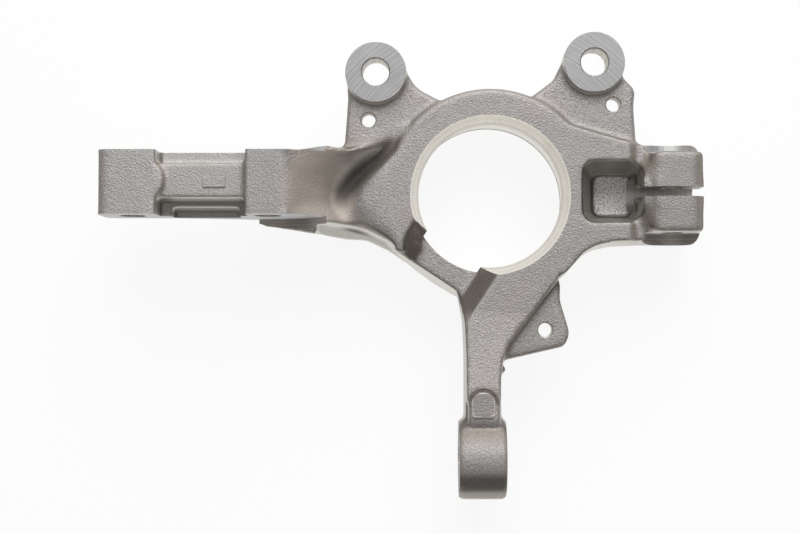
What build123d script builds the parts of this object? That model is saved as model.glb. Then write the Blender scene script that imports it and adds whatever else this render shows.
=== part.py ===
from build123d import *
import math
import os

# Front steering knuckle of a small car: one iron casting with machined seats.
#
# Frame: the origin is on the axis of the wheel bearing, in the outboard face of
# the hub ring, and +Z points inboard, towards the middle of the car.  -X runs up
# to the strut, +X down to the lower ball joint, and -Y to the tie rod.  The part
# lies on its outboard face, so everything is at or above z = 0.
#
# "Front" is the inboard side (high z) and "back" the outboard side (low z).

# ---- casting habits --------------------------------------------------------------
draft = 3.0                   # taper of the mould's walls, in degrees
ring_round = 2.0              # rounding of the hub ring's outside edges
plate_round = 1.5             # rounding of the thin plates' edges
arm_parting = 30.0            # the two long arms part higher up than the ring
overshoot = 5.0               # how far a blank or a cut runs past the metal

# ---- hub ring -----------------------------------------------------------------
bearing_diameter = 72.0       # outer race of the wheel bearing
seat_depth = 37.0             # outboard face to the shoulder that stops the race
ring_depth = 46.0             # outboard face to inboard face
ring_diameter = 98.6          # cast outside, at the inboard face
ring_foot_diameter = 95.0     # cast outside, at the outboard face
parting_height = 20.0         # plane where the two mould halves meet
lip_mouth_diameter = 74.0     # conical lip inboard of the shoulder, at its mouth
lip_throat_diameter = 66.4    # the same lip, at the shoulder
groove_diameter = 74.4        # for the circlip that holds the race
groove_width = 2.0
groove_land = 2.0             # metal between the groove and the outboard face
seat_lead_in = 0.8
ring_flat_offset = 47.2       # the ring is flat outside, below the notch
notch_heading = 236.6         # direction of the notch through the lip, in degrees
notch_floor_width = 29.0
notch_mouth_width = 46.0
lobe_tip_x = -62.5            # a corner of the inboard face reaches out to the strut arm
lobe_tip_y = 0.9
lobe_root_x = -38.0
lobe_round = 5.0
lobe_foot_drop = 3.0          # it spreads from a little below the arm's foot

# ---- caliper lugs ---------------------------------------------------------------
caliper_hole_diameter = 12.5
caliper_boss_diameter = 28.4
spotface_edge = 0.8
caliper_left = (-52.9, 56.8)
caliper_right = (48.0, 61.2)
lug_back = 34.5               # outboard face of the lugs, against bracket and shield
lug_front = 43.0
lug_inset = 0.4               # the boss stands a little outside its lug
caliper_boss_front = 47.0
caliper_boss_back = 33.5      # the bracket lies on a pad round each hole
hole_chamfer = 0.6

# ---- brake-shield holes --------------------------------------------------------------
shield_hole_diameter = 6.5
shield_hole_left = (-56.3, 35.0)
shield_hole_right = (57.0, 42.0)
shield_hole_lower = (25.4, -62.2)
shield_plate_back = 32.5
shield_plate_front = 40.5

# ---- strut arm ---------------------------------------------------------------------
strut_hole_diameter = 12.5
strut_bolt_spacing = 62.0
strut_lower_bolt_x = -102.3
strut_bolt_height = 48.0
strut_grip = 29.2             # between the two milled faces that the strut clamps
strut_middle_y = 4.8
strut_mill_radius = 27.0      # the milled faces end in an arc round the lower bolt
strut_end_x = -179.6
strut_front = 62.4
strut_back = 33.0
strut_end_round = 6.5
web_front = 47.0              # thin web beside the rib, between the two eyes
web_left_x = -152.0
web_right_x = -111.5
rib_width = 15.8
rib_middle_y = 5.6
rib_front = 60.0
nose_diameter = 19.4          # the upper eye's front ends in a round nose
nose_x = -157.8
side_pocket_floor = 35.5
side_pocket_wall_y = -5.8
side_pocket_left_x = -147.0
side_pocket_right_x = -115.5
strut_brow_x = -93.0          # the arm slopes down from here to its shoulder,
strut_shoulder_x = -75.5
strut_shoulder_front = 46.0
strut_shoulder_round = 9.0
strut_foot_x = -69.5          # and falls steeply from the shoulder to its foot
strut_foot_front = 31.0
strut_foot_round = 5.0
arm_bevel_back = 14.0         # the arm's low edge leans in from this height up
arm_bevel_length = 60.0
arm_bevel_depth = 20.0

# ---- steering arm and tie-rod eye -------------------------------------------------------
arm_left_x = -12.2
arm_right_x = 5.5
arm_crease_y = -55.0
arm_end_front = 50.0
arm_back_root = 14.0
arm_back_end = 23.0
eye_y = -121.9
eye_height = 35.0
eye_diameter = 37.4
eye_length = 21.6
eye_middle_x = -3.7
eye_edge = 1.2
taper_large_diameter = 14.0
taper_small_diameter = 11.8
riser_y = -96.6               # flat left by the riser, with a pad of its neck on it
riser_pad_diameter = 11.6
riser_pad_front = 43.8
riser_flat_front = 41.8
riser_flat_diameter = 14.6
riser_flat_top_y = -89.6
riser_shoulder_y = -94.5

# ---- ball-joint clamp ---------------------------------------------------------------------
stud_diameter = 17.5
stud_height = 25.0
clamp_middle_y = 1.3
clamp_end_x = 98.0
barrel_diameter = 47.4
barrel_start_x = 66.0
barrel_edge = 2.0
ear_width = 37.2
ear_left_x = 73.2
ear_front = 50.4
ear_left_round = 4.0
ear_right_round = 6.5
ear_edge = 1.0
pinch_hole_diameter = 10.5
pinch_seat_diameter = 28.0    # for the bolt's head and nut
pinch_x = 84.6
pinch_height = 38.5
slot_width = 4.5
stud_run_in = 3.0             # the stud's bore runs on into the pocket
saddle_x = 69.0               # dip in front, between the ears and the pocket
saddle_rise = 1.5             # its axis, in front of the hub ring's face
saddle_radius = 4.5
saddle_length = 60.0
neck_back = 3.0
pocket_left_x = 42.3
pocket_right_x = 69.5
pocket_low_y = -12.6
pocket_high_y = 15.8
pocket_floor = 20.0
pocket_round = 5.5
pocket_foot_round = 4.0
pocket_floor_round = 2.0
pocket_shift = 7.0            # slope of the wall next to the hub ring
pocket_side_slope = 3.8

bore_radius = bearing_diameter / 2
web_low_y = strut_middle_y - strut_grip / 2
web_high_y = strut_middle_y + strut_grip / 2
strut_upper_bolt_x = strut_lower_bolt_x - strut_bolt_spacing
saddle_height = ring_depth + saddle_rise
through = 3 * ring_depth      # longer than any wall that a cut has to pass


def outline(*corners):
    """A closed face; its corners run counter-clockwise, as (x, y) or (x, y, radius)."""
    face = make_face(Polyline(*[corner[:2] for corner in corners], close=True))
    for corner in corners:
        if len(corner) == 3:
            x, y, radius = corner
            face = fillet(face.vertices().sort_by_distance((x, y))[0], radius)
    return face


def drafted(face, back, front, split):
    """A lump between two heights that tapers both ways from the parting plane."""
    halves = []
    for end in (back, front):
        inset = abs(end - split) * math.tan(math.radians(draft))
        shrunk = offset(face, -inset, kind=Kind.INTERSECTION)
        halves.append(loft([Pos(0, 0, split) * face, Pos(0, 0, end) * shrunk], ruled=True))
    return halves[0] + halves[1]


def plate(face, back, front):
    """A thin lump with upright walls, rounded towards the front."""
    lump = extrude(Pos(0, 0, back) * face, front - back)
    return fillet(lump.faces().sort_by(Axis.Z)[-1].edges(), plate_round)


def hole_along_z(place, diameter, back, front):
    """A drilled hole with a small chamfer at both mouths."""
    x, y = place
    lead = 2 * hole_chamfer
    drill = Pos(x, y, (back + front) / 2) * Cylinder(diameter / 2, through)
    drill += Pos(x, y, front) * Cone(diameter / 2, diameter / 2 + lead, lead)
    drill += Pos(x, y, back) * Cone(diameter / 2 + lead, diameter / 2, lead)
    return drill


def hub_ring():
    """The ring round the wheel bearing, turned about the bearing's axis."""
    taper = math.tan(math.radians(draft))
    parting_radius = ring_diameter / 2 + taper * (ring_depth - parting_height)
    section = Polyline(
        (0, 0),
        (ring_foot_diameter / 2, 0),
        (parting_radius, parting_height),
        (ring_diameter / 2, ring_depth),
        (0, ring_depth),
        close=True,
    )
    ring = revolve(Plane.XZ * make_face(section), Axis.Z)
    ring = chamfer(ring.edges().group_by(Axis.Z)[0], ring_round)
    return fillet(ring.edges().group_by(Axis.Z)[-1], ring_round)


def strut_lobe():
    """The corner of the inboard face that reaches out over the strut arm."""
    reach = lobe_root_x - lobe_tip_x
    top = outline(
        (lobe_tip_x, lobe_tip_y, lobe_round),
        (lobe_root_x, lobe_tip_y - reach),
        (lobe_root_x + reach, lobe_tip_y),
        (lobe_root_x, lobe_tip_y + reach),
    )
    foot = outline(
        (lobe_tip_x - 6.0, lobe_tip_y - 3.0, lobe_round),
        (lobe_root_x - 4.0, lobe_tip_y - 3.0 - reach),
        (lobe_root_x + reach, lobe_tip_y),
        (lobe_root_x - 2.0, lobe_tip_y + 1.0 + reach),
    )
    low = strut_foot_front - lobe_foot_drop
    lobe = loft([Pos(0, 0, parting_height) * foot, Pos(0, 0, low) * foot], ruled=True)
    return lobe + loft([Pos(0, 0, low) * foot, Pos(0, 0, ring_depth) * top], ruled=True)


def caliper_lug(face, centre):
    """A plate that carries one caliper boss, drafted like the mould."""
    disc = Pos(*centre) * Circle(caliper_boss_diameter / 2)
    boss = extrude(Pos(0, 0, caliper_boss_back) * disc, caliper_boss_front - caliper_boss_back)
    boss = chamfer(boss.edges().group_by(Axis.Z)[-1], spotface_edge)
    return plate(face, lug_back, lug_front) + boss


def left_lug():
    x, y = caliper_left
    reach = caliper_boss_diameter / 2 - lug_inset
    face = outline(
        (x + 16.0, y - 30.5),
        (x + 35.0, y - 27.0),
        (x + 33.0, y - 14.3),
        (x + 18.4, y - 6.5, 14),
        (x + 0.87 * reach, y + 0.38 * reach),
        (x, y + reach / 2),
        (x - reach, y),
        (x - reach + 0.8, y - 12.0, 12),
        (x - reach - 0.9, y - 35.5),
        (x - 5.0, y - 33.2),
        (x + 3.0, y - 32.0),
    )
    return caliper_lug(face, caliper_left)


def right_lug():
    x, y = caliper_right
    reach = caliper_boss_diameter / 2 - lug_inset
    face = outline(
        (x - 28.0, y - 31.0),
        (x - 8.0, y - 49.0),
        (x + 19.7, y - 41.0),
        (x + 18.6, y - 20.0, 20),
        (x + 19.3, y - 12.0, 4.5),
        (x + reach - 0.4, y - 6.0, 3),
        (x + reach, y),
        (x, y + reach / 2),
        (x - 0.92 * reach, y + 0.36 * reach),
        (x - 18.6, y - 7.6, 5),
        (x - 34.0, y - 19.2),
    )
    return caliper_lug(face, caliper_right)


def shield_plate():
    """The low corner plate that takes the third screw of the brake shield."""
    face = outline(
        (-2.0, -40.0),
        (-2.0, -72.0),
        (6.0, -76.4, 2),
        (34.6, -69.8, 4),
        (36.9, -63.6, 6),
        (32.2, -48.0, 12),
        (32.8, -40.0, 5),
        (20.0, -28.0),
    )
    return plate(face, shield_plate_back, shield_plate_front)


def strut_arm():
    """The arm up to the strut: its plan, cut to the profile seen from the side."""
    plan = outline(
        (strut_end_x, -12.6),
        (-110.0, -13.0),
        (-92.0, -15.4),
        (-68.0, -19.6),
        (-58.0, -20.2),
        (-48.0, -25.0),
        (-36.0, -34.0),
        (-20.0, 0.0),
        (-36.0, 30.0),
        (-46.0, 27.0),
        (-60.0, 23.4),
        (-74.0, 22.6),
        (-80.0, 23.7),
        (-88.0, 23.7),
        (-97.0, 21.6),
        (strut_end_x, 21.6),
    )
    profile = outline(
        (strut_end_x, strut_back, 8),
        (-146.0, strut_back, 12),
        (-114.0, 23.5, 12),
        (-98.0, 17.0, 20),
        (-44.0, 3.0),
        (-20.0, 2.0),
        (-20.0, strut_foot_front),
        (strut_foot_x, strut_foot_front, strut_foot_round),
        (strut_shoulder_x, strut_shoulder_front, strut_shoulder_round),
        (strut_brow_x, strut_front, 10),
        (strut_end_x, strut_front, strut_end_round),
    )
    mould = drafted(plan, 0, strut_front + overshoot, arm_parting)
    return (mould & extrude(Plane.XZ * profile, through, both=True)) - arm_bevel()


def arm_bevel():
    """What the mould takes off the arm's low edge, between the lower eye and the ring."""
    near = Vector(-80.5, -11.6, strut_foot_front)
    far = Vector(-54.0, -18.4, strut_foot_front)
    foot = Vector(-68.0, -19.6, arm_bevel_back)
    lean = Plane(origin=near, x_dir=far - near, z_dir=(foot - near).cross(far - near))
    return lean * Box(
        arm_bevel_length,
        arm_bevel_length,
        arm_bevel_depth,
        align=(Align.MIN, Align.CENTER, Align.MIN),
    )


def web_cuts():
    """What the mould takes away between the two strut eyes, beside the rib."""
    rib_low = rib_middle_y - rib_width / 2
    rib_high = rib_middle_y + rib_width / 2
    middle_x = (web_left_x + web_right_x) / 2
    length = web_right_x - web_left_x
    span = 2 * strut_grip
    level = Pos(middle_x, rib_middle_y, rib_front) * Box(
        length, span, through, align=(Align.CENTER, Align.CENTER, Align.MIN)
    )
    beside = Box(length, span, through, align=(Align.CENTER, Align.MIN, Align.MIN))
    high = Pos(middle_x, rib_high, web_front) * beside
    low = Pos(middle_x, rib_low - span, web_front) * beside
    nose = Pos(nose_x, rib_middle_y, rib_front) * Cylinder(nose_diameter / 2, through)
    pocket_length = side_pocket_right_x - side_pocket_left_x
    pocket = Box(pocket_length, span, through, align=(Align.MIN, Align.MAX, Align.MIN))
    side_pocket = Pos(side_pocket_left_x, side_pocket_wall_y, side_pocket_floor) * pocket
    return (level - nose) + high + low + side_pocket


def mill_cuts():
    """The two faces that the strut's plates clamp, and the cutter's arc below them."""
    lower = (strut_lower_bolt_x, strut_bolt_height)
    sweep = Pos(*lower) * Circle(strut_mill_radius) + Pos(
        strut_upper_bolt_x, strut_bolt_height
    ) * Circle(strut_mill_radius)
    sweep += Pos((lower[0] + strut_upper_bolt_x) / 2, lower[1]) * Rectangle(
        strut_bolt_spacing, 2 * strut_mill_radius
    )
    cutter = extrude(Plane.XZ * sweep, through)
    low = Pos(0, web_low_y, 0) * cutter
    high = Pos(0, web_high_y, 0) * mirror(cutter, Plane.XZ)
    return low + high


def steering_arm():
    """The arm down to the tie rod, with the flat that the riser left on it."""
    plan = outline(
        (-17.0, -36.0),
        (-14.8, -48.0, 12),
        (-12.8, -58.0, 20),
        (arm_left_x, -74.0),
        (arm_left_x, eye_y),
        (arm_right_x, eye_y),
        (arm_right_x, -84.0),
        (6.4, -76.0),
        (9.6, -68.0),
        (32.6, -38.0),
        (20.0, -20.0),
    )
    profile = outline(
        (-20.0, ring_depth),
        (arm_crease_y, ring_depth),
        (-88.0, arm_end_front),
        (eye_y, arm_end_front),
        (eye_y, arm_back_end),
        (-60.0, 17.0),
        (-20.0, arm_back_root),
    )
    arm = drafted(plan, 0, arm_end_front + overshoot, arm_parting)
    arm &= extrude(Plane.YZ * profile, through, both=True)
    radius = riser_flat_diameter / 2
    flat = Pos(eye_middle_x, riser_flat_top_y - radius) * Circle(radius)
    flat += Pos(eye_middle_x, riser_shoulder_y) * Rectangle(
        2 * eye_length, eye_length, align=(Align.CENTER, Align.MAX)
    )
    arm -= Pos(0, 0, riser_flat_front) * extrude(flat, through)
    pad = Pos(eye_middle_x, riser_y, eye_height) * Cylinder(
        riser_pad_diameter / 2,
        riser_pad_front - eye_height,
        align=(Align.CENTER, Align.CENTER, Align.MIN),
    )
    return arm + pad


def tie_rod_eye():
    eye = Pos(eye_middle_x, eye_y, eye_height) * Rot(0, 90, 0) * Cylinder(eye_diameter / 2, eye_length)
    return chamfer(eye.edges().filter_by(GeomType.CIRCLE), eye_edge)


def clamp():
    """The split barrel for the ball joint's stud, with its two ears."""
    barrel = Pos(barrel_start_x, clamp_middle_y, stud_height) * Rot(0, 90, 0) * Cylinder(
        barrel_diameter / 2,
        clamp_end_x - barrel_start_x,
        align=(Align.CENTER, Align.CENTER, Align.MIN),
    )
    barrel = chamfer(barrel.edges().filter_by(GeomType.CIRCLE).sort_by(Axis.X)[-1], barrel_edge)
    ears = outline(
        (ear_left_x, stud_height),
        (clamp_end_x, stud_height),
        (clamp_end_x, ear_front, ear_right_round),
        (ear_left_x, ear_front, ear_left_round),
    )
    ears = Pos(0, clamp_middle_y, 0) * extrude(Plane.XZ * ears, ear_width / 2, both=True)
    ears = chamfer(ears.edges().filter_by(Axis.Z), ear_edge)
    return barrel + ears


def clamp_neck():
    """The block between hub ring and clamp, hollowed from the front."""
    plan = outline(
        (20.0, -34.0),
        (34.5, -38.0),
        (44.0, -27.4),
        (49.0, -24.6),
        (57.0, -22.8),
        (74.0, -22.0),
        (74.0, 24.0),
        (60.0, 27.0),
        (30.0, 36.0),
    )
    return drafted(plan, neck_back, ring_depth, parting_height)


def ring_flat():
    """The flat on the ring's outside, below the notch."""
    block = Box(through, through, through, align=(Align.MIN, Align.CENTER, Align.CENTER))
    return Rot(0, 0, notch_heading) * Pos(ring_flat_offset, 0, 0) * Rot(0, -draft, 0) * block


def bearing_seat():
    """Bore, circlip groove, shoulder and conical lip, turned in one profile."""
    groove_start = groove_land
    groove_end = groove_land + groove_width
    section = Polyline(
        (0, -overshoot),
        (bore_radius + seat_lead_in, -overshoot),
        (bore_radius + seat_lead_in, 0),
        (bore_radius, seat_lead_in),
        (bore_radius, groove_start),
        (groove_diameter / 2, groove_start),
        (groove_diameter / 2, groove_end),
        (bore_radius, groove_end),
        (bore_radius, seat_depth),
        (lip_throat_diameter / 2, seat_depth),
        (lip_mouth_diameter / 2, ring_depth),
        (lip_mouth_diameter / 2, ring_depth + overshoot),
        (0, ring_depth + overshoot),
        close=True,
    )
    return revolve(Plane.XZ * make_face(section), Axis.Z)


def notch():
    """The gap in the lip: a trough with sloping sides that runs out radially."""
    heading = math.radians(notch_heading)
    across = Plane(
        origin=(0, 0, seat_depth),
        x_dir=(-math.sin(heading), math.cos(heading), 0),
        z_dir=(math.cos(heading), math.sin(heading), 0),
    )
    rise = ring_depth - seat_depth
    widening = (notch_mouth_width - notch_floor_width) / 2
    section = outline(
        (-notch_floor_width / 2, 0),
        (notch_floor_width / 2, 0),
        (notch_floor_width / 2 + 2 * widening, 2 * rise),
        (-notch_floor_width / 2 - 2 * widening, 2 * rise),
    )
    return extrude(across * section, 2 * bearing_diameter)


def lug_root():
    """The bank from the strut arm up to the left lug's face."""
    foot = outline(
        (-69.0, 16.8),
        (-47.0, 19.0),
        (-38.0, 20.0),
        (-30.0, 36.0),
        (-47.0, 27.6),
        (-66.0, 22.4),
    )
    ridge = outline(
        (-66.0, 21.4),
        (-47.7, 26.4),
        (-38.5, 29.6),
        (-33.0, 38.0),
        (-47.0, 32.6),
        (-66.4, 26.0),
    )
    low = strut_foot_front - lobe_foot_drop
    return loft([Pos(0, 0, low) * foot, Pos(0, 0, lug_front) * ridge], ruled=True)


def neck_pocket():
    """The deep pocket into which the ball joint's stud comes through."""
    middle_x = (pocket_left_x + pocket_right_x) / 2
    middle_y = (pocket_low_y + pocket_high_y) / 2
    rim = Pos(middle_x, middle_y, ring_depth) * RectangleRounded(
        pocket_right_x - pocket_left_x, pocket_high_y - pocket_low_y, pocket_round
    )
    low = Pos(middle_x + pocket_shift / 2, middle_y, pocket_floor) * RectangleRounded(
        pocket_right_x - pocket_left_x - pocket_shift,
        pocket_high_y - pocket_low_y - 2 * pocket_side_slope,
        pocket_foot_round,
    )
    hollow = loft([low, rim])
    return fillet(hollow.faces().sort_by(Axis.Z)[0].edges(), pocket_floor_round)


def saddle():
    """The dip in front, between the pocket and the two ears."""
    return Pos(saddle_x, clamp_middle_y, saddle_height) * Rot(90, 0, 0) * Cylinder(
        saddle_radius, saddle_length
    )


def clamp_cuts():
    """Stud bore, slot and pinch-bolt hole."""
    length = clamp_end_x - pocket_right_x + 2 * stud_run_in
    start = Pos(pocket_right_x - stud_run_in, clamp_middle_y, stud_height)
    stud = start * Rot(0, 90, 0) * Cylinder(
        stud_diameter / 2, length, align=(Align.CENTER, Align.CENTER, Align.MIN)
    )
    slot = start * Box(length, slot_width, through, align=(Align.MIN, Align.CENTER, Align.MIN))
    pinch = Pos(pinch_x, clamp_middle_y, pinch_height) * Rot(90, 0, 0) * Cylinder(
        pinch_hole_diameter / 2, through
    )
    seat = Circle(pinch_seat_diameter / 2)
    seat = Pos(pinch_x, clamp_middle_y - ear_width / 2, pinch_height) * extrude(
        Plane.XZ * seat, 2 * stud_diameter
    )
    seats = seat + Pos(0, 2 * clamp_middle_y, 0) * mirror(seat, Plane.XZ)
    return stud + slot + pinch + seats


def strut_holes():
    hole = Rot(90, 0, 0) * Cylinder(strut_hole_diameter / 2, through)
    places = [strut_upper_bolt_x, strut_lower_bolt_x]
    return [Pos(x, strut_middle_y, strut_bolt_height) * hole for x in places]


def taper_hole():
    small_x = eye_middle_x - eye_length / 2
    cone = Cone(taper_small_diameter / 2, taper_large_diameter / 2, eye_length)
    return Pos(eye_middle_x, eye_y, eye_height) * Rot(0, 90, 0) * cone


def casting():
    """Everything that the mould makes, as one piece."""
    blank = hub_ring() - ring_flat()
    blank += strut_lobe()
    blank += strut_arm() - web_cuts()
    blank += lug_root()
    blank += left_lug()
    blank += right_lug()
    blank += shield_plate()
    blank += clamp_neck()
    blank += clamp()
    blank -= saddle()
    blank -= neck_pocket()
    blank += steering_arm()
    blank += tie_rod_eye()
    return blank


def knuckle():
    """The casting after machining."""
    part = casting() - notch() - bearing_seat()
    part -= mill_cuts()
    part -= clamp_cuts()
    part -= taper_hole()
    for hole in strut_holes():
        part -= hole
    for place in (caliper_left, caliper_right):
        part -= hole_along_z(place, caliper_hole_diameter, caliper_boss_back, caliper_boss_front)
    for place in (shield_hole_left, shield_hole_right):
        part -= hole_along_z(place, shield_hole_diameter, lug_back, lug_front)
    part -= hole_along_z(
        shield_hole_lower, shield_hole_diameter, shield_plate_back, shield_plate_front
    )
    return part


if __name__ == "__main__":
    os.makedirs("parts", exist_ok=True)
    export_step(knuckle(), "parts/steering_knuckle.step")
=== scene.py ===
import math

import bmesh
import bpy
from mathutils import Matrix, Vector


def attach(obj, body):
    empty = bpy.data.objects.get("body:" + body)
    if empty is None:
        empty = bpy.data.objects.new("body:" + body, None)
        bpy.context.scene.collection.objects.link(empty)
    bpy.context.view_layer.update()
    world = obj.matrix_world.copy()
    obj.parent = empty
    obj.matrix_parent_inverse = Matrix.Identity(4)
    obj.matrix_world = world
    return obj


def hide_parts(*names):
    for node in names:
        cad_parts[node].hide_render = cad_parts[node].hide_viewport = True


# A cast steering knuckle, as it comes from the machine shop: a rough iron casting
# whose seats, holes and clamping faces are machined bright.
#
# The casting comes first, with its machined places filled and its corners rounded as a
# mould leaves them. Cutters then open the machined places, and each leaves its finish.
#
# Lengths here are in millimetres, and the finished mesh is in metres.

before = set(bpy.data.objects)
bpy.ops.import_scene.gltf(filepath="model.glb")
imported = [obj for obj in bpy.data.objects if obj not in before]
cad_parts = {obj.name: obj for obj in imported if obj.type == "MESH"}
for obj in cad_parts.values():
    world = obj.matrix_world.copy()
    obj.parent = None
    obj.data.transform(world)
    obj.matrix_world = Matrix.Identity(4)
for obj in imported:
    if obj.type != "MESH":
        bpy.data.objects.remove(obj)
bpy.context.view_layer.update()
MM = 0.001

# ---- the knuckle's own places --------------------------------------------------------
RING_DEPTH = 46.0
SEAT_DEPTH = 37.0
BORE_RADIUS = 36.0
NOTCH_HEADING = 236.6           # degrees: where the lip has its gap
BOSS_BACK, BOSS_FRONT = 33.5, 47.0
BOSS_RADIUS = 14.2
CALIPER_HOLES = ((-52.9, 56.8), (48.0, 61.2))
SHIELD_HOLES = (
    # x, y, and the heights of the two faces of its ear
    (-56.3, 35.0, 34.5, 43.0),
    (57.0, 42.0, 34.5, 43.0),
    (25.4, -62.2, 32.5, 40.5),
)
STRUT_BOLTS = ((-164.3, 48.0), (-102.3, 48.0))
STRUT_FACES = (-9.8, 19.4)
STRUT_AIR = ((-16, STRUT_FACES[0]), (STRUT_FACES[1], 26))   # what the mill sweeps beside them
MILL_CENTRE = (-102.3, 0, 48.0)
MILL_RADIUS = 27.0
MILL_END = -109.0               # from here outwards the mill takes the arm's whole side
CLAMP_Y, CLAMP_Z, CLAMP_END = 1.3, 25.0, 98.0
CLAMP = (0, CLAMP_Y, CLAMP_Z)   # the ball stud's axis, along X
CLAMP_RADIUS = 23.7
PINCH = (84.6, CLAMP_Y, 38.5)   # the pinch bolt's axis, along Y
PINCH_FACE = 18.6
EYE = (-3.7, -121.9, 35.0)      # the tie rod's axis, along X
EYE_HALF = 10.8

# The radii of holes, and half the slot's width.
SHIELD_BORE, BOLT_BORE, PINCH_BORE, STUD_BORE = 3.25, 6.25, 5.25, 8.75
SLOT_HALF = 2.25
HOLE_LEAD = 0.6                 # the broken edge of a drilled hole

# The radii of cutters that face something round a hole.
BOSS_CUTTER, BOSS_BACK_CUTTER = BOSS_RADIUS + 1, BOSS_RADIUS + 0.8
EYE_CUTTER, PINCH_CUTTER = 19.5, 14

# The radii of the metal that fills a hole before it is machined.
SEAT_FILL, EYE_FILL, STUD_FILL, PINCH_FILL = 38.5, 17.6, 10.2, 6.2
FILL_MARGIN = 1.35              # how much wider it is than each of the smaller holes
BOSS_ALLOWANCE = 0.9            # the metal that is milled off a boss's face
FACE_ALLOWANCE = 0.8            # and off the other faces

PAST = 3                        # how far a cutter runs past the metal
TOP = 80                        # above all the metal
ARM_BEYOND = -200               # past the strut arm's end

# ---- the finishes, and how finely things are made --------------------------------------
# SIDED is what a cutter leaves with its side, and PAD is the casting's raised pads.
FINISH_COUNT = 8
CAST, TURNED, FACED, MILLED, DRILLED, SIDED, BORED, PAD = range(FINISH_COUNT)
ROD_STEPS, ROUND_STEPS, SEAT_STEPS = 64, 128, 192

# How the casting is evened out and rounded.
VOXEL = 1.0
MOULD_ROUNDS = 9
SOFT_ROUNDS = 85
SMOOTH_FACTOR = 0.5

# Where outlines are drawn: flat, standing in XZ, or at the notch, seen along its radius.
HERE = Matrix.Identity(4)
UPRIGHT = Matrix(((1, 0, 0, 0), (0, 0, -1, 0), (0, 1, 0, 0), (0, 0, 0, 1)))
NOTCH = Matrix.Rotation(math.radians(NOTCH_HEADING), 4, "Z") @ Matrix(
    ((0, 0, 1, 0), (1, 0, 0, 0), (0, 1, 0, SEAT_DEPTH), (0, 0, 0, 1))
)


def along(axis, place):
    """The place of something made along Z: turned to an axis, then moved."""
    turn = {
        "x": Matrix.Rotation(math.pi / 2, 4, "Y"),
        "y": Matrix.Rotation(-math.pi / 2, 4, "X"),
        "z": Matrix.Identity(4),
    }[axis]
    return Matrix.Translation(place) @ turn


def placed(name, data):
    """A new object in the scene."""
    piece = bpy.data.objects.new(name, data)
    bpy.context.scene.collection.objects.link(piece)
    return piece


def open_slots(mesh):
    """Gives the mesh an empty material slot for each finish."""
    for _ in range(FINISH_COUNT):
        mesh.materials.append(None)


class Stock:
    """Closed shells that are added to the casting, or cut out of it, as one mesh."""

    def __init__(self):
        self.bm = bmesh.new()

    def keep(self, part, place=HERE, finish=CAST, wall=None):
        """Adds a part and frees it. Its upright faces may have a finish of their own."""
        bmesh.ops.remove_doubles(part, verts=part.verts, dist=1e-5)
        bmesh.ops.recalc_face_normals(part, faces=part.faces)
        for face in part.faces:
            upright = wall is not None and abs(face.normal.z) < 0.5
            face.material_index = wall if upright else finish
        part.transform(place)
        mesh = bpy.data.meshes.new("shell")
        part.to_mesh(mesh)
        part.free()
        self.bm.from_mesh(mesh)
        bpy.data.meshes.remove(mesh)

    def turned(self, profile, place=HERE, finish=CAST, steps=ROUND_STEPS, wall=None):
        """A profile of (radius, height) that starts and ends on the axis, spun round."""
        part = bmesh.new()
        verts = [part.verts.new((radius, 0, height)) for radius, height in profile]
        edges = [part.edges.new(pair) for pair in zip(verts, verts[1:])]
        bmesh.ops.spin(
            part, geom=verts + edges, cent=(0, 0, 0), axis=(0, 0, 1),
            angle=2 * math.pi, steps=steps, use_merge=True,
        )
        self.keep(part, place, finish, wall)

    def rod(self, radius, low, high, place=HERE, finish=CAST, steps=ROD_STEPS, wall=None):
        """A cylinder round the axis, between two heights."""
        profile = [(0, low), (radius, low), (radius, high), (0, high)]
        self.turned(profile, place, finish, steps, wall)

    def block(self, low, high, finish=CAST):
        """A box between two corners."""
        part = bmesh.new()
        middle = (Vector(low) + Vector(high)) / 2
        size = Vector(high) - Vector(low)
        bmesh.ops.create_cube(
            part, size=1, matrix=Matrix.Translation(middle) @ Matrix.Diagonal((*size, 1))
        )
        self.keep(part, finish=finish)

    def prism(self, corners, low, high, place=HERE, finish=CAST, rounds=(), rim=0.0):
        """An outline pushed up from one height to another; rounds are (corner, radius),
        and rim is the bevel round its top."""
        part = bmesh.new()
        verts = [part.verts.new((x, y, low)) for x, y in corners]
        part.faces.new(verts)
        for index, radius in rounds:
            bmesh.ops.bevel(
                part, geom=[verts[index]], offset=radius, offset_type="OFFSET", segments=8,
                profile=0.5, affect="VERTICES", material=-1,
            )
        pushed = bmesh.ops.extrude_face_region(part, geom=part.faces[:])["geom"]
        moved = [v for v in pushed if isinstance(v, bmesh.types.BMVert)]
        bmesh.ops.translate(part, verts=moved, vec=(0, 0, high - low))
        if rim:
            top = [edge for edge in part.edges if all(v in moved for v in edge.verts)]
            bmesh.ops.bevel(
                part, geom=top, offset=rim, offset_type="OFFSET", segments=2,
                profile=0.5, affect="EDGES", material=-1,
            )
        self.keep(part, place, finish)

    def piece(self, name):
        """What was added so far, as an object. The stock can't be used after it."""
        mesh = bpy.data.meshes.new(name)
        self.bm.to_mesh(mesh)
        self.bm.free()
        open_slots(mesh)
        return placed(name, mesh)


def apply_modifiers(piece):
    """Replaces the piece's mesh by what its modifiers make of it."""
    graph = bpy.context.evaluated_depsgraph_get()
    mesh = bpy.data.meshes.new_from_object(piece.evaluated_get(graph), depsgraph=graph)
    piece.modifiers.clear()
    old = piece.data
    piece.data = mesh
    bpy.data.meshes.remove(old)


def boolean(piece, tool, operation):
    """Joins the tool to the piece, or cuts it out, and removes the tool."""
    cut = piece.modifiers.new("cut", "BOOLEAN")
    cut.object = tool
    cut.operation = operation
    cut.solver = "MANIFOLD"
    apply_modifiers(piece)
    bpy.data.objects.remove(tool)


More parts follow.
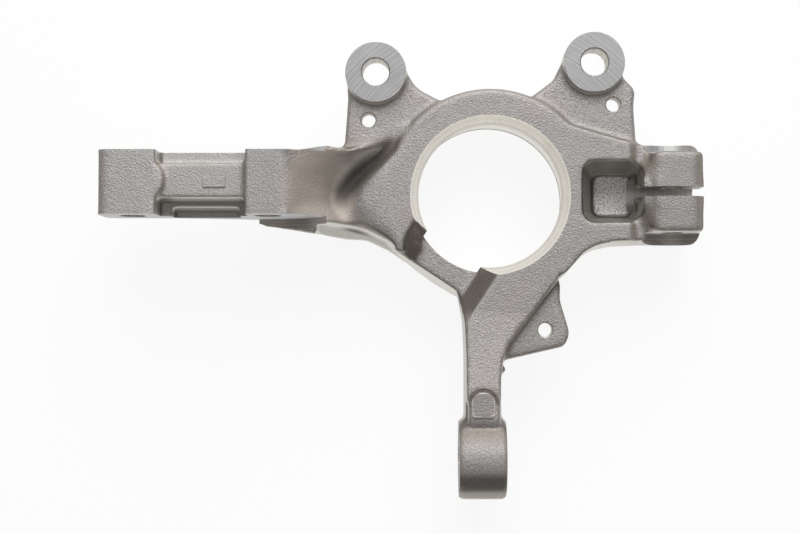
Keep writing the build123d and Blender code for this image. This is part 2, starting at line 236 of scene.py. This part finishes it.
# ---- the metal that fills the machined places ------------------------------------------
def notch_trough():
    """The gap in the lip, which the mould makes."""
    stock = Stock()
    stock.prism(((-15.5, 0), (14.5, 0), (31.5, 18), (-32.5, 18)), 0, 90, NOTCH)
    return stock.piece("trough")


def lip_gap():
    """The same gap, as far out as the bearing's seat, with crisp ends on the lip."""
    gap = notch_trough()
    within = Stock()
    within.rod(BORE_RADIUS + 0.1, SEAT_DEPTH - 1, RING_DEPTH + PAST, steps=SEAT_STEPS)
    boolean(gap, within.piece("within"), "INTERSECT")
    return gap


def lip_stock():
    """Fills the ring above the seat, but for the gap."""
    stock = Stock()
    stock.rod(SEAT_FILL, SEAT_DEPTH - 1, RING_DEPTH)
    lip = stock.piece("lip")
    boolean(lip, notch_trough(), "DIFFERENCE")
    return lip


def arm_side(low, high, *openings):
    """What the mill takes off one side of the strut arm, between two places along Y.
    An opening is the start, the end and the bottom of a part that stays hollow."""
    outline = (
        (-179.0, 33), (-146, 33), (-114, 23.5), (-98, 17), (-72, 10),
        (-70, 31), (-75.5, 46), (-93, 62.4), (-179.0, 62.4),
    )
    stock = Stock()
    stock.prism(outline, -high, -low, UPRIGHT, rounds=((0, 6), (8, 6)))
    side = stock.piece("side")
    for start, end, bottom in openings:
        stock = Stock()
        stock.block((start, low - 1, bottom), (end, high + 1, TOP))
        boolean(side, stock.piece("opening"), "DIFFERENCE")
    stock = Stock()
    stock.rod(MILL_RADIUS + 0.3, low - 1, high + 1, along("y", MILL_CENTRE))
    reach = stock.piece("reach")
    stock = Stock()
    stock.block((ARM_BEYOND, low - 2, 0), (MILL_END, high + 2, TOP))
    boolean(reach, stock.piece("beyond"), "UNION")
    boolean(side, reach, "INTERSECT")
    return side


def clamp_stock(stock):
    """Fills the clamp's bore, its slot and the pinch bolt's hole."""
    stock.rod(STUD_FILL, 68, CLAMP_END, along("x", CLAMP))
    ears = ((73.4, 26), (CLAMP_END, 26), (CLAMP_END, 50.4), (73.4, 50.4))
    stock.prism(ears, -CLAMP_Y - 3.4, -CLAMP_Y + 3.4, UPRIGHT, rounds=((2, 6.5), (3, 4)))
    stock.block((67.5, CLAMP_Y - 3.2, 26), (74.5, CLAMP_Y + 3.2, 42.5))
    stock.rod(PINCH_FILL, -18.4, 18.4, along("y", PINCH))
    barrel = (
        (0, 70), (CLAMP_RADIUS, 70), (CLAMP_RADIUS, CLAMP_END - 2),
        (CLAMP_RADIUS - 2, CLAMP_END), (0, CLAMP_END),
    )
    stock.turned(barrel, along("x", CLAMP))


def blank_stock():
    """The filled bores and faces, and cast metal that stands past the solid."""
    stock = Stock()
    stock.rod(SEAT_FILL, 0, SEAT_DEPTH - 0.5)
    back = ((0, -FACE_ALLOWANCE), (46.2, -FACE_ALLOWANCE), (47.4, 2), (47.4, 4), (0, 4))
    stock.turned(back)
    for x, y in CALIPER_HOLES:
        low, high = BOSS_BACK - BOSS_ALLOWANCE, BOSS_FRONT + BOSS_ALLOWANCE
        stock.rod(BOSS_RADIUS, low, high, along("z", (x, y, 0)))
    for x, y, low, high in SHIELD_HOLES:
        stock.rod(SHIELD_BORE + FILL_MARGIN, low, high, along("z", (x, y, 0)))
    for x, z in STRUT_BOLTS:
        low, high = STRUT_FACES[0] - 2, STRUT_FACES[1] + 2
        stock.rod(BOLT_BORE + FILL_MARGIN, low, high, along("y", (x, 0, z)))
    half = EYE_HALF + FACE_ALLOWANCE
    stock.rod(EYE_FILL, -half, half, along("x", EYE))
    clamp_stock(stock)
    # a nub at the side of the steering arm
    stock.rod(1.3, 31, 38, along("z", (6.2, -80.6, 0)), steps=16)
    # the strut arm is wider in its bend than where it was milled
    flare = ((-98, 19.0), (-91, 23.6), (-80, 24.0), (-69, 22.2), (-64, 19.0))
    stock.prism(flare, 16, 44)
    # the foot of the notch's wall
    foot = ((-24, -1.5), (-11.8, -1.5), (-11.8, 0), (-23.0, RING_DEPTH - SEAT_DEPTH))
    stock.prism(foot, 36.5, 45.6, NOTCH)
    # the flat under the riser's stub
    stock.block((-10.2, -105.5, 38), (4.0, -88.5, 47.8))
    return stock.piece("stock")


# ---- the soft hollow between the strut arm and the ring ---------------------------------
# Its tables are pairs of a place and a value there.
SWEEP_START, SWEEP_LENGTH = -92, 52
SWEEP_LOW = (
    # along X, its edge towards the steering arm
    (-92, -11.5), (-80, -12.0), (-75.3, -13.0), (-63.6, -14.2), (-57.8, -15.8),
    (-52, -18.8), (-46, -21.8), (-38, -28.0),
)
SWEEP_HIGH = (
    # along X, its edge towards the caliper's lugs
    (-92, 20.5), (-80, 22.0), (-74, 21.6), (-65.7, 21.2), (-58.8, 23.0),
    (-47.7, 26.3), (-38, 29.0),
)
RING_CORNER = (
    # along Y, the edge of the ring's inboard face
    (-30, -35), (-22.3, -41.7), (-12.6, -53.1), (-4.8, -60.0), (2.1, -60.6), (6.1, -58.0),
    (11.2, -53.4), (16.3, -48.0), (21.3, -43.0), (30, -34),
)
VALLEY = (
    # along Y, the height of its bottom
    (-30, 43.5), (-14, 42.5), (-6, 39.5), (2, 35.0), (10, 33.5), (18, 35.0), (24, 40),
    (30, 42),
)
RAMP = (
    # along Y, the length of the slope that climbs to the ring
    (-30, 12), (-14, 13), (-4, 10.5), (4, 7.5), (12, 6.0), (18, 5.5), (30, 5.5),
)
BACK = ((16, 26), (20, 37))     # along Y, the height of the patch's flat back
ARM_EDGE, ARM_TOP = -93.5, 62.0
ARM_BOW = 0.8                   # below 1, the arm's slope bows outwards


def read(table, at):
    """The value of a table of (place, value) pairs at a place, in straight runs."""
    for (first, low), (last, high) in zip(table, table[1:]):
        if at <= last:
            return low + (high - low) * max(0.0, (at - first) / (last - first))
    return table[-1][1]


def sweep_height(x, y):
    """How high the hollow is: it climbs from its bottom to the arm and to the ring."""
    ramp = read(RAMP, y)
    bottom = read(RING_CORNER, y) - ramp
    depth = read(VALLEY, y)
    if x < bottom:
        rise = min(1.0, (bottom - x) / (bottom - ARM_EDGE))
        return depth + (ARM_TOP - depth) * rise**ARM_BOW
    rise = min(1.0, (x - bottom) / ramp)
    return depth + (RING_DEPTH - 0.2 - depth) * rise * rise * (3 - 2 * rise)


def sweep_stock():
    """The hollow as a patch of metal with a flat back."""
    part = bmesh.new()
    bmesh.ops.create_grid(part, x_segments=48, y_segments=32, size=0.5)
    for vert in part.verts:
        x = SWEEP_START + SWEEP_LENGTH * (vert.co.x + 0.5)
        low, high = read(SWEEP_LOW, x), read(SWEEP_HIGH, x)
        y = low + (high - low) * (vert.co.y + 0.5)
        vert.co = (x, y, sweep_height(x, y))
    pushed = bmesh.ops.extrude_face_region(part, geom=part.faces[:])["geom"]
    for vert in pushed:
        if isinstance(vert, bmesh.types.BMVert):
            vert.co.z = read(BACK, vert.co.y)
    stock = Stock()
    stock.keep(part)
    return stock.piece("sweep")


# ---- the casting -----------------------------------------------------------------------
SOFT_PLACES = (
    # centre, reach, weight at the centre
    ((-66, 3, 40), 24, 0.8),
    ((-60, 3, 42), 12, 1.0),
    ((-55, 13, 42), 10, 1.0),
    ((75.5, 13, 46), 8, 1.0),
    ((75.5, -10.5, 46), 8, 1.0),
    ((-56, -14, 42), 14, 1.0),
    ((-52, 20, 42), 14, 0.8),
    ((-42, 27, 44), 9, 0.6),
)
SOFT_GAIN = 2.5                 # how fast the weight climbs from the edge of the reach


def smooth(piece, rounds, group=""):
    """Adds a smoothing modifier, for the whole piece or for one of its vertex groups."""
    modifier = piece.modifiers.new("soft", "SMOOTH")
    modifier.vertex_group = group
    modifier.factor = SMOOTH_FACTOR
    modifier.iterations = rounds


def soften(piece):
    """Rounds the broad hollows and steps that the mould leaves softer than the rest."""
    group = piece.vertex_groups.new(name="soft")
    for vertex in piece.data.vertices:
        weight = 0.0
        for centre, reach, most in SOFT_PLACES:
            near = 1 - (vertex.co - Vector(centre)).length / reach
            if near > 0:
                weight = max(weight, most * min(1.0, SOFT_GAIN * near))
        if weight > 0:
            group.add((vertex.index,), weight, "REPLACE")
    smooth(piece, SOFT_ROUNDS, group.name)
    apply_modifiers(piece)
    piece.vertex_groups.clear()


def casting():
    """The rough casting: the model's solid with its machined places filled, and its
    corners rounded as a mould leaves them."""
    solid = bmesh.new()
    solid.from_mesh(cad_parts["steering_knuckle"].data)
    solid.transform(Matrix.Scale(1 / MM, 4))
    bmesh.ops.remove_doubles(solid, verts=solid.verts, dist=1e-3)
    web, pocket = (-152, -111.5, 47), (-147, -115.5, 35.5)
    for extra in (
        blank_stock(), lip_stock(), sweep_stock(),
        arm_side(-12.6, -9.4, web, pocket), arm_side(19.0, 21.6, web),
    ):
        solid.from_mesh(extra.data)
        bpy.data.objects.remove(extra)
    mesh = bpy.data.meshes.new("casting")
    solid.to_mesh(mesh)
    solid.free()
    piece = placed("casting", mesh)
    remesh = piece.modifiers.new("even", "REMESH")
    remesh.mode = "VOXEL"
    remesh.voxel_size = VOXEL
    smooth(piece, MOULD_ROUNDS)
    apply_modifiers(piece)
    soften(piece)
    piece.data.materials.clear()
    open_slots(piece.data)
    for polygon in piece.data.polygons:
        polygon.material_index = CAST
    return piece


# ---- the machining ---------------------------------------------------------------------
def hole(stock, x, y, radius, low, high):
    """A drilled hole along Z, with its edges broken."""
    wide = radius + PAST + HOLE_LEAD
    profile = (
        (0, low - PAST), (wide, low - PAST), (radius, low + HOLE_LEAD),
        (radius, high - HOLE_LEAD), (wide, high + PAST), (0, high + PAST),
    )
    stock.turned(profile, along("z", (x, y, 0)), DRILLED, ROD_STEPS)


def seats_and_faces():
    """The bearing's seat with its groove and lip, and the faces round the bolts."""
    cuts = Stock()
    seat = (
        (0, -PAST), (BORE_RADIUS + 3.8, -PAST), (BORE_RADIUS, 0.8), (BORE_RADIUS, 2),
        (37.2, 2), (37.2, 4), (BORE_RADIUS, 4), (BORE_RADIUS, SEAT_DEPTH),
        (33.2, SEAT_DEPTH), (37.0, RING_DEPTH), (38.27, RING_DEPTH + PAST),
        (0, RING_DEPTH + PAST),
    )
    cuts.turned(seat, finish=TURNED, steps=SEAT_STEPS)
    for x, y in CALIPER_HOLES:
        place = along("z", (x, y, 0))
        cuts.rod(BOSS_CUTTER, BOSS_FRONT, BOSS_FRONT + 4, place, FACED)
        cuts.rod(BOSS_BACK_CUTTER, BOSS_BACK - 4, BOSS_BACK, place, FACED)
    for x, y, low, high in SHIELD_HOLES:
        hole(cuts, x, y, SHIELD_BORE, low, high)
    place = along("y", MILL_CENTRE)
    for (low, high), wall in zip(STRUT_AIR, (SIDED, MILLED)):
        cuts.rod(MILL_RADIUS, low, high, place, MILLED, ROUND_STEPS, wall)
    for side, wall in ((-1, SIDED), (1, MILLED)):
        low, high = sorted((side * EYE_HALF, side * (EYE_HALF + 4)))
        cuts.rod(EYE_CUTTER, low, high, along("x", EYE), FACED)
        low, high = sorted((side * PINCH_FACE, side * 26))
        cuts.rod(PINCH_CUTTER, low, high, along("y", PINCH), MILLED, ROUND_STEPS, wall)
    return cuts


def flats_and_bores():
    """The outboard face, the strut arm's sides, the caliper's holes, the tie rod's taper
    and the ball stud's bore."""
    cuts = Stock()
    cuts.block((-80, -80, -5), (80, 80, 0), FACED)
    for low, high in STRUT_AIR:
        cuts.block((ARM_BEYOND, low, 20), (MILL_END, high, TOP), MILLED)
    for x, y in CALIPER_HOLES:
        hole(cuts, x, y, BOLT_BORE, BOSS_BACK, BOSS_FRONT)
    taper = ((0, -13), (5.78, -13), (5.9, -EYE_HALF), (7.0, EYE_HALF), (7.12, 13), (0, 13))
    cuts.turned(taper, along("x", EYE), TURNED, ROD_STEPS)
    cuts.rod(STUD_BORE, 66, CLAMP_END + 4, along("x", CLAMP), BORED)
    return cuts


def bolts_and_slot():
    """The strut's bolt holes and the clamp's slot."""
    cuts = Stock()
    for x, z in STRUT_BOLTS:
        cuts.rod(BOLT_BORE, -20, 30, along("y", (x, 0, z)), DRILLED)
    low, high = CLAMP_Y - SLOT_HALF, CLAMP_Y + SLOT_HALF
    cuts.block((66.5, low, CLAMP_Z), (CLAMP_END + 4, high, 60), MILLED)
    return cuts


def pinch_hole():
    """The pinch bolt's hole, through both of the clamp's ears."""
    cuts = Stock()
    cuts.rod(PINCH_BORE, -30, 30, along("y", PINCH), DRILLED)
    return cuts


def raised_pads():
    """A bare foundry pad on the strut arm, and the stub that the riser left."""
    pads = Stock()
    plate = ((-130.5, 2.3), (-120.5, 2.3), (-120.5, 7.0), (-130.5, 7.0))
    pads.prism(plate, 58, 60.7, finish=PAD, rim=0.2)
    stub = ((-8.6, -102.4), (1.6, -102.4), (2.1, -90.6), (-9.1, -90.6))
    corners = ((0, 1.5), (1, 1.5), (2, 5.0), (3, 5.0))
    pads.prism(stub, 42, 48.9, finish=PAD, rounds=corners, rim=0.6)
    return pads.piece("pads")


def shade(mesh):
    """Smooth shading on the casting, with a sharp edge wherever two finishes meet."""
    skin = bmesh.new()
    skin.from_mesh(mesh)
    for face in skin.faces:
        face.smooth = face.material_index == CAST
    for edge in skin.edges:
        edge.smooth = len({face.material_index for face in edge.link_faces}) == 1
    skin.to_mesh(mesh)
    skin.free()


knuckle = casting()
boolean(knuckle, lip_gap(), "DIFFERENCE")
# The cutters of one set don't touch each other.
for cutters in (seats_and_faces, flats_and_bores, bolts_and_slot, pinch_hole):
    boolean(knuckle, cutters().piece("cutter"), "DIFFERENCE")
boolean(knuckle, raised_pads(), "UNION")
knuckle.name = "knuckle"
knuckle.data.name = "knuckle"
knuckle.data.transform(Matrix.Scale(MM, 4))


# ---- finishes ---------------------------------------------------------------------------
class Value:
    """A socket in a material that can stand in a sum."""

    def __init__(self, finish, socket):
        self.finish = finish
        self.socket = socket

    def _maths(self, operation, *terms):
        return self.finish.maths(operation, *terms)

    def __add__(self, other):
        return self._maths("ADD", self, other)

    def __sub__(self, other):
        return self._maths("SUBTRACT", self, other)

    def __rsub__(self, other):
        return self._maths("SUBTRACT", other, self)

    def __mul__(self, other):
        return self._maths("MULTIPLY", self, other)

    def __truediv__(self, other):
        return self._maths("DIVIDE", self, other)

    def __pow__(self, other):
        return self._maths("POWER", self, other)

    def __abs__(self):
        return self._maths("ABSOLUTE", self)

    __radd__ = __add__
    __rmul__ = __mul__

    def step(self, low, high):
        """0 below low, 1 above high, and smooth between them."""
        node = self.finish.node(
            "ShaderNodeMapRange", {"clamp": True, "interpolation_type": "SMOOTHSTEP"},
            {"Value": self, "From Min": low, "From Max": high},
        )
        return Value(self.finish, node.outputs[0])

    def fall(self, low, high):
        """1 below low, 0 above high."""
        return 1 - self.step(low, high)

    def band(self, low, first, last, high):
        """1 from first to last, 0 below low and above high."""
        return self.step(low, first) * self.fall(last, high)


class Finish:
    """A procedural material, on Object coordinates."""

    def __init__(self, name):
        self.material = bpy.data.materials.new(name)
        self.material.use_nodes = True
        self.tree = self.material.node_tree
        self.shader = self.tree.nodes["Principled BSDF"]
        self.place = self.node("ShaderNodeTexCoord", {}, {}).outputs["Object"]

    def node(self, kind, settings, inputs):
        """A new node: its settings come first, then the values or links of its sockets."""
        node = self.tree.nodes.new(kind)
        for key, value in settings.items():
            setattr(node, key, value)
        for key, value in inputs.items():
            self.join(value, node.inputs[key])
        return node

    def join(self, value, socket):
        """Links a value to a socket, or sets it there. A colour's alpha is 1."""
        if isinstance(value, Value):
            value = value.socket
        if isinstance(value, bpy.types.NodeSocket):
            self.tree.links.new(value, socket)
        elif socket.type == "RGBA":
            socket.default_value = (*value, 1)
        else:
            socket.default_value = value

    def maths(self, operation, *terms):
        node = self.node("ShaderNodeMath", {"operation": operation}, dict(enumerate(terms)))
        return Value(self, node.outputs[0])

    def axes(self, vector):
        """The three parts of a vector."""
        parts = self.node("ShaderNodeSeparateXYZ", {}, {0: vector})
        return [Value(self, part) for part in parts.outputs]

    def noise(self, scale, roughness, detail=2):
        """Noise in space; the scale is in cells to the metre."""
        node = self.node(
            "ShaderNodeTexNoise", {},
            {"Vector": self.place, "Scale": scale, "Detail": detail, "Roughness": roughness},
        )
        return Value(self, node.outputs[0])

    def blend(self, mask, first, second):
        """The first colour, covered by the second where the mask is 1."""
        node = self.node(
            "ShaderNodeMix", {"data_type": "RGBA"}, {0: mask, 6: first, 7: second}
        )
        return node.outputs[2]

    def bump(self, height, strength, distance, under=None):
        """Relief, on top of the relief under it."""
        inputs = {"Height": height, "Strength": strength, "Distance": distance}
        if under is not None:
            inputs["Normal"] = under
        return self.node("ShaderNodeBump", {}, inputs).outputs["Normal"]

    def use(self, **inputs):
        """Sets the shader's inputs and gives back the material."""
        for key, value in inputs.items():
            self.join(value, self.shader.inputs[key.replace("_", " ")])
        return self.material


def cast_iron(name, on_casting):
    """Shot-blasted iron: grainy all over, with a painted reflection that makes walls lighter
    and painted shade that makes slopes and hollows darker.
    The raised pads have no painted crease shade or edge highlight from bends of their own, but
    a painted highlight round the riser's stub."""
    iron = Finish(name)
    grain = iron.noise(2100, 0.6)
    sand = iron.noise(1150, 0.55)
    swell = iron.noise(70, 0.5)
    tint = iron.noise(28, 0.6, 3)
    x, y, z = (part / MM for part in iron.axes(iron.place))
    facing = iron.node("ShaderNodeTexCoord", {}, {}).outputs["Normal"]
    _, toward, level = iron.axes(facing)

    # how the surface stands
    up = abs(level)
    wall = up.fall(0.1, 0.45)
    low_side = toward.fall(-0.75, -0.25)
    turning = up.band(0.15, 0.35, 0.6, 0.8) * low_side

    # the caliper's lugs, at whose foot less of the painted shade is laid
    shade_kept = 1 - 0.75 * y.step(26, 32) * z.fall(47.5, 50)

    # the long slope of the strut arm, painted lighter, and the hollow in the middle of it,
    # painted dark with shade
    swept = (((x + 78) / 16.5) ** 2 + ((y - 1) / 24) ** 2) ** 0.5
    swept = swept.fall(0.75, 1.1) * z.step(28, 33) * up.step(0.4, 0.6)
    across = (x + 61) * 0.75 - (y - 8) * 0.66
    down = (x + 61) * 0.66 + (y - 8) * 0.75
    hollow = ((across / 8.5) ** 2 + (down / 18) ** 2) ** 0.5
    hollow = hollow.fall(0.2, 1.1) * z.step(28, 33)

    # the valley between the arm and the ring, and the bottom of it, both painted with shade
    valley = x.band(-78, -72, -47, -41) * up.step(0.3, 0.6) * y.band(-24, -18, 25, 28)
    pit = valley * z.fall(36.5, 43.5)
    dip = valley * z.fall(41.5, 45.5)

    # painted shade: slopes darker and browner, the steep ones darkest, and those near the bore
    # darker still
    lean = up.fall(0.78, 0.97) * up.step(0.2, 0.5) * shade_kept
    # the valley takes the slopes' painted shade as well
    lean = iron.maths("MAXIMUM", lean, dip)
    steep = up.band(0.25, 0.45, 0.5, 0.72) * (1 - 0.85 * low_side) * (1 - swept) * shade_kept
    inner = ((x**2 + y**2) ** 0.5).fall(52, 60)

    # the square pocket beside the clamp, with painted shade on its walls, and its floor,
    # painted lighter and speckled with grit
    pocket = x.band(38, 41, 68, 71) * y.band(-22.5, -20.5, 22.5, 24.5) * z.fall(42, 45.5)
    pocket_floor = z.fall(21, 26) * x.step(43, 47) * y.step(-14, -10) * up.step(0.85, 0.97)

    # the steering arm: painted light on its top, painted shade on the slope to the eye and
    # under the eye, and a painted reflection of the floor on the eye's end
    arm_top_light = y.fall(-104, -58) * y.step(-107, -98) * up.step(0.8, 0.95)
    shaded = y.fall(-130, -126) * y.step(-137.5, -134.5) * up.step(0.2, 0.5)
    shaded = shaded + 0.3 * y.band(-116, -112, -104, -101)
    eye_end = y.fall(-137.5, -135.5)

    speckle = iron.blend(sand.step(0.38, 0.58), (0.4, 0.39, 0.38), (0.95, 0.93, 0.91))
    layers = [
        # strength, where, and the colour laid over what is there
        (0.36, sand.fall(0.38, 0.55), (0.2, 0.195, 0.19)),
        (0.4, grain.step(0.5, 0.66), (0.56, 0.55, 0.545)),
        # painted shade: the clamp end is made darker
        (0.2, x.step(66, 74), (0.2, 0.19, 0.18)),
        # painted light: the strut arm's outer end is made lighter
        (0.12, x.fall(-120, -100), (0.75, 0.74, 0.73)),
        # painted shade on slopes
        (0.7, lean, (0.34, 0.3, 0.255)),
        # painted shade on slopes near the bore
        (0.8, inner * lean, (0.13, 0.115, 0.1)),
        # painted light on the strut arm's long slope
        (0.7, swept, (0.57, 0.51, 0.46)),
        # painted light with grit on the pocket's floor
        (0.7, pocket_floor, speckle),
        # painted shade on steep slopes
        (0.65, steep, (0.11, 0.097, 0.087)),
        # painted reflection of the pale floor on walls, strongest on the low side and its
        # half-leaning faces
        (0.55, wall, (0.76, 0.73, 0.66)),
        (0.5, wall * low_side, (0.86, 0.82, 0.74)),
        (0.8, turning, (0.8, 0.76, 0.69)),
        # painted shade under the eye and on the slope to it
        (0.7, shaded, (0.1, 0.088, 0.078)),
        # painted reflection of the floor on the eye's end
        (0.6, eye_end, (0.74, 0.69, 0.61)),
        # painted light on the steering arm's top
        (0.55, arm_top_light, (0.5, 0.455, 0.44)),
        # painted shade: a dark crescent in the hollow by the ring
        (0.88, hollow, (0.085, 0.078, 0.07)),
        # painted shade along the valley's bottom
        (0.85, pit, (0.05, 0.046, 0.042)),
        # painted shade on the pocket's walls
        (0.34, pocket * up.fall(0.9, 0.97), (0.1, 0.095, 0.09)),
    ]
    if on_casting:
        bend = iron.node("ShaderNodeNewGeometry", {}, {}).outputs["Pointiness"]
        bend = Value(iron, bend)
        # painted shade in creases and a painted highlight on rounded edges, from the mesh's
        # pointiness
        layers += [
            (0.45, bend.fall(0.4, 0.485) * shade_kept, (0.1, 0.088, 0.078)),
            (0.5, bend.step(0.52, 0.6), (0.56, 0.51, 0.46)),
        ]
    else:
        stub = y.fall(-90, -80)
        rim = (((x + 3.5) / 5.4) ** 4 + ((y + 96.5) / 6.1) ** 4) ** 0.25
        layers += [
            (0.4, stub, (0.22, 0.215, 0.21)),
            # painted highlight round the stub's rim
            (0.75, rim.step(0.84, 0.93) * stub, (0.82, 0.79, 0.74)),
        ]
    colour = iron.blend(tint.step(0.35, 0.7), (0.355, 0.342, 0.332), (0.37, 0.343, 0.33))
    for strength, where, paint in layers:
        colour = iron.blend(strength * where, colour, paint)
    return iron.use(
        Base_Color=colour,
        Metallic=0.6 + 0.3 * wall - 0.5 * turning - 0.2 * pit - 0.3 * dip,
        Roughness=0.45 + 0.15 * grain - 0.15 * wall + 0.3 * dip,
        Normal=iron.bump(
            swell, 0.4, 0.8 * MM, iron.bump(0.6 * sand + 0.4 * grain, 1.0, 0.5 * MM)
        ),
    )


def bright_iron(name, centre, axes, pitch, dark, light, rough=0.4):
    """A machined face with the rings that its cutter leaves round the centre. Distance
    from the centre is taken along the axes."""
    iron = Finish(name)
    shift = tuple(-value * MM for value in centre)
    from_centre = iron.node(
        "ShaderNodeMapping", {}, {"Vector": iron.place, "Location": shift}
    )
    parts = iron.axes(from_centre.outputs[0])
    rings = iron.node(
        "ShaderNodeTexNoise", {"noise_dimensions": "1D"},
        {
            "W": sum(parts[axis] ** 2 for axis in axes) ** 0.5,
            "Scale": 1 / (pitch * MM), "Detail": 2.0, "Roughness": 0.6,
        },
    )
    fine = iron.noise(2500, 0.6)
    broad = iron.noise(120, 0.5)
    marks = 0.7 * Value(iron, rings.outputs[0]) + 0.15 * fine + 0.15 * broad
    return iron.use(
        Base_Color=iron.blend(marks.step(0.38, 0.62), dark, light),
        Metallic=0.85,
        Roughness=rough + 0.12 * fine,
        Normal=iron.bump(marks, 0.3, 0.1 * MM),
    )


ORIGIN = (0, 0, 0)
finishes = {
    CAST: cast_iron("shot_blasted_iron", True),
    TURNED: bright_iron(
        "turned_iron", ORIGIN, (0, 1), 1.5, (0.66, 0.63, 0.57), (0.85, 0.82, 0.75), 0.22
    ),
    FACED: bright_iron(
        "faced_iron", ORIGIN, (0, 1), 0.8, (0.28, 0.28, 0.285), (0.39, 0.39, 0.395)
    ),
    MILLED: bright_iron(
        "milled_iron", MILL_CENTRE, (0, 2), 0.8, (0.52, 0.52, 0.52), (0.64, 0.64, 0.64)
    ),
    DRILLED: bright_iron(
        "drilled_iron", ORIGIN, (0, 1), 0.6, (0.5, 0.48, 0.44), (0.7, 0.67, 0.61)
    ),
    SIDED: bright_iron(
        "cutter_side_iron", (0, 60, 0), (1,), 0.7, (0.42, 0.39, 0.36), (0.64, 0.6, 0.56), 0.5
    ),
    BORED: bright_iron(
        "bored_iron", ORIGIN, (0,), 0.9, (0.5, 0.485, 0.465), (0.62, 0.6, 0.575)
    ),
    PAD: cast_iron("shot_blasted_pad", False),
}
for index, finish in finishes.items():
    knuckle.data.materials[index] = finish
shade(knuckle.data)
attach(knuckle, "root")
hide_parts("steering_knuckle")


# ---- floor, light and camera, in metres --------------------------------------------------
AIM = (-0.03, -0.02, 0)
AMBIENT = (0.16, 0.15, 0.145, 1)
FLOOR_SIZE = 20.0
FLOOR_GLOW = 0.9                # how much of the floor that the camera sees is plain white


def floor():
    """A pale floor that the camera sees nearly white, with the knuckle's shadow on it."""
    bm = bmesh.new()
    bmesh.ops.create_grid(bm, x_segments=2, y_segments=2, size=FLOOR_SIZE)
    mesh = bpy.data.meshes.new("floor")
    bm.to_mesh(mesh)
    bm.free()
    white = Finish("white_paper")
    mesh.materials.append(white.use(Base_Color=(0.92, 0.92, 0.92), Roughness=0.9))
    path = white.node("ShaderNodeLightPath", {}, {})
    seen = white.maths("MAXIMUM", path.outputs["Is Camera Ray"], path.outputs["Is Glossy Ray"])
    glow = white.node("ShaderNodeEmission", {}, {"Color": (1, 1, 1), "Strength": 1.0})
    mix = white.node(
        "ShaderNodeMixShader", {},
        {0: seen * FLOOR_GLOW, 1: white.shader.outputs[0], 2: glow.outputs[0]},
    )
    white.join(mix.outputs[0], white.tree.nodes["Material Output"].inputs["Surface"])
    placed("floor", mesh)


def lamp(name, place, size, power):
    """A round panel that faces the knuckle."""
    light = bpy.data.lights.new(name, "AREA")
    light.shape = "DISK"
    light.size = size
    light.energy = power
    piece = placed(name, light)
    piece.location = place
    piece.rotation_euler = (Vector(AIM) - Vector(place)).to_track_quat("-Z", "Y").to_euler()


floor()
world = bpy.data.worlds.new("tent")
bpy.context.scene.world = world
world.use_nodes = True
world.node_tree.nodes["Background"].inputs[0].default_value = AMBIENT
world.node_tree.nodes["Background"].inputs[1].default_value = 1.0
lamp("top_panel", (0.0, 0.1, 1.4), 1.6, 4.2)
lamp("far_panel", (0.12, 1.5, 1.3), 1.9, 47)

# The camera looks nearly straight down. The view is measured in pixels: its width, its
# middle, the point straight below the camera, and the length that the lens stands for.
VIEW_WIDTH = 800
VIEW_CENTRE = (400, 266.5)
VIEW_NADIR = (418, 325)
VIEW_LENGTH = 1490
SENSOR_WIDTH = 36
CAMERA_PLACE = (-33.4, -59.9, 730)

camera_data = bpy.data.cameras.new("camera")
camera_data.lens = VIEW_LENGTH / VIEW_WIDTH * SENSOR_WIDTH
camera_data.sensor_width = SENSOR_WIDTH
camera_data.clip_start = 0.01
camera = placed("camera", camera_data)
ahead = Vector((
    (VIEW_CENTRE[0] - VIEW_NADIR[0]) / VIEW_LENGTH,
    (VIEW_NADIR[1] - VIEW_CENTRE[1]) / VIEW_LENGTH,
    -1,
)).normalized()
right = ahead.cross(Vector((0, 1, 0))).normalized()
above = right.cross(ahead)
turn = Matrix((right, above, -ahead)).transposed().to_4x4()
camera.matrix_world = Matrix.Translation(Vector(CAMERA_PLACE) * MM) @ turn
bpy.context.scene.camera = camera
bpy.context.scene.view_settings.view_transform = "Standard"
